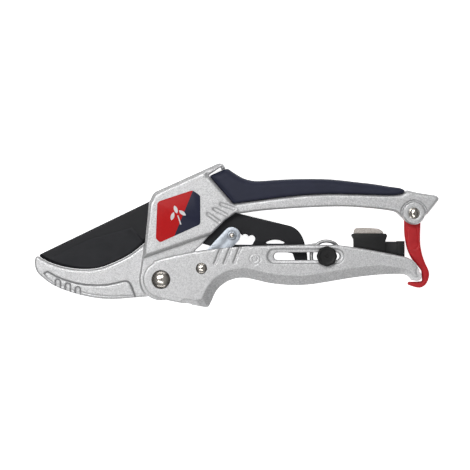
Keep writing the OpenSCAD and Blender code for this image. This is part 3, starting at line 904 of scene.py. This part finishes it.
def wire_tree():
    """Geometry nodes that turn a path of edges into round wire."""
    tree = bpy.data.node_groups.new("round_wire", "GeometryNodeTree")
    face = tree.interface
    face.new_socket("Geometry", in_out="INPUT", socket_type="NodeSocketGeometry")
    radius = face.new_socket("Wire radius", in_out="INPUT", socket_type="NodeSocketFloat")
    sides = face.new_socket("Sides", in_out="INPUT", socket_type="NodeSocketInt")
    finish = face.new_socket("Finish", in_out="INPUT", socket_type="NodeSocketMaterial")
    face.new_socket("Geometry", in_out="OUTPUT", socket_type="NodeSocketGeometry")
    n = tree.nodes
    start = n.new("NodeGroupInput")
    end = n.new("NodeGroupOutput")
    to_curve = n.new("GeometryNodeMeshToCurve")
    ring = n.new("GeometryNodeCurvePrimitiveCircle")
    sweep = n.new("GeometryNodeCurveToMesh")
    sweep.inputs["Fill Caps"].default_value = True
    real = n.new("GeometryNodeRealizeInstances")
    paint = n.new("GeometryNodeSetMaterial")
    link = tree.links.new
    link(start.outputs["Geometry"], to_curve.inputs[0])
    link(start.outputs["Wire radius"], ring.inputs["Radius"])
    link(start.outputs["Sides"], ring.inputs["Resolution"])
    link(to_curve.outputs[0], sweep.inputs["Curve"])
    link(ring.outputs[0], sweep.inputs["Profile Curve"])
    link(sweep.outputs[0], real.inputs[0])
    link(real.outputs[0], paint.inputs["Geometry"])
    link(start.outputs["Finish"], paint.inputs["Material"])
    link(paint.outputs[0], end.inputs[0])
    return tree, {"radius": radius.identifier, "sides": sides.identifier, "finish": finish.identifier}


WIRE, WIRE_INPUTS = wire_tree()


def wire_spring(name, node, at, r, z_low, z_high, turns, leg_in, leg_out, wire):
    """A torsion spring: a coil about the axis at, with a straight leg at each end, all in mm."""
    path = [leg_in]
    steps = int(turns * 40)
    for i in range(steps + 1):
        a = math.radians(90) + 2 * math.pi * turns * i / steps
        path.append((at[0] + r * math.cos(a), at[1] + r * math.sin(a), z_low + (z_high - z_low) * i / steps))
    path.append(leg_out)
    mesh = bpy.data.meshes.new(name)
    mesh.from_pydata([(x * MM, y * MM, MIDDLE + z * MM) for x, y, z in path],
                     [(i, i + 1) for i in range(len(path) - 1)], [])
    obj = add_object(name, mesh)
    step = obj.modifiers.new("wire", "NODES")
    step.node_group = WIRE
    step[WIRE_INPUTS["radius"]] = wire * MM
    step[WIRE_INPUTS["sides"]] = 16
    step[WIRE_INPUTS["finish"]] = FINISH["spring"]
    settle(obj)
    smooth_shade(obj, 50)
    return finish_piece(obj, node)


COIL_R, COIL_Z, COIL_WIRE = 7.6, 4, 0.85     # return spring's coil, half its height and its wire's radius, in mm
post_mm = (POST.x / MM, POST.y / MM)
wire_spring("return_spring_wire", "return_spring", post_mm, COIL_R, -COIL_Z, COIL_Z, 3.5,
            (post_mm[0] - 13, post_mm[1] + COIL_R - 3.1, -COIL_Z),
            (post_mm[0] + 9, post_mm[1] - COIL_R + 1.4, COIL_Z), COIL_WIRE)
link_mm = (LINK_PIN.x / MM, LINK_PIN.y / MM)
wire_spring("link_spring_wire", "link_spring", link_mm, 2.7, -1.2, 1.2, 2.5,
            (link_mm[0] + 6, link_mm[1] + 2.9, -1.2), (link_mm[0] + 5, link_mm[1] - 4.2, 1.2), 0.3)


# ---------------------------------------------------------------- table, light and camera

def make_table():
    size = 12.0
    mesh = bpy.data.meshes.new("table")
    mesh.from_pydata([(-size, -size, 0), (size, -size, 0), (size, size, 0), (-size, size, 0)], [], [(0, 1, 2, 3)])
    table = add_object("table", mesh)
    table.data.materials.append(table_finish())
    table.location.z = CAD_BOX[0].z - 0.0002


make_table()


def soft_box(name, place, aim, size, power):
    lamp = bpy.data.lights.new(name, "AREA")
    lamp.shape = "RECTANGLE"
    lamp.size, lamp.size_y = size
    lamp.energy = power
    obj = bpy.data.objects.new(name, lamp)
    bpy.context.scene.collection.objects.link(obj)
    obj.location = place
    obj.rotation_euler = (Vector(aim) - Vector(place)).to_track_quat("-Z", "Y").to_euler()
    return obj


middle = (CAD_BOX[0] + CAD_BOX[1]) / 2
# Two long boxes lean in from the back and the front, with a thin strip low down behind each.
soft_box("back_box", (middle.x - 0.14, middle.y + 0.36, 1.05), middle, (0.9, 0.26), 3.3)
soft_box("front_box", (middle.x - 0.12, middle.y - 0.40, 1.05), middle, (0.9, 0.24), 2.0)
soft_box("back_strip", (middle.x, middle.y + 0.9, 0.6), middle, (1.2, 0.10), 0.9)
soft_box("front_strip", (middle.x, middle.y - 0.9, 0.6), middle, (1.2, 0.10), 0.8)
soft_box("jaw_box", (BOLT.x - 0.14, BOLT.y + 0.17, 0.46), (BOLT.x - 0.035, BOLT.y, MIDDLE), (0.20, 0.16), 0.46)


def studio_world():
    """Pale overhead, dimmer towards the horizon, so that sloping edges read darker than flat faces."""
    world = bpy.data.worlds.new("studio")
    bpy.context.scene.world = world
    world.use_nodes = True
    tree = world.node_tree
    place = tree.nodes.new("ShaderNodeTexCoord")
    split = tree.nodes.new("ShaderNodeSeparateXYZ")
    ramp = tree.nodes.new("ShaderNodeValToRGB")
    stops = ((0.0, 0.14), (0.45, 0.18), (0.8, 0.66), (0.93, 0.60), (1.0, 0.10))
    ramp_stops = ramp.color_ramp.elements
    while len(ramp_stops) < len(stops):
        ramp_stops.new(0.5)
    for stop, (at, level) in zip(ramp_stops, stops):
        stop.position = at
        stop.color = (level, level * 1.005, level * 1.015, 1)
    tree.links.new(place.outputs["Generated"], split.inputs[0])
    tree.links.new(split.outputs["Z"], ramp.inputs[0])
    tree.links.new(ramp.outputs[0], tree.nodes["Background"].inputs["Color"])
    tree.nodes["Background"].inputs["Strength"].default_value = 0.42


studio_world()

# The camera hangs straight over the shears
FRAME_WIDTH = 0.235
LENS, SENSOR = 230, 36
camera_data = bpy.data.cameras.new("camera")
camera_data.lens = LENS
camera_data.sensor_width = SENSOR
camera = bpy.data.objects.new("camera", camera_data)
bpy.context.scene.collection.objects.link(camera)
bpy.context.scene.camera = camera
face = MIDDLE + 0.003
camera.location = (BOLT.x + 0.03695, BOLT.y + 0.0222, face + FRAME_WIDTH * LENS / SENSOR)
camera.rotation_euler = (0, 0, 0)
bpy.context.scene.view_settings.view_transform = "Standard"
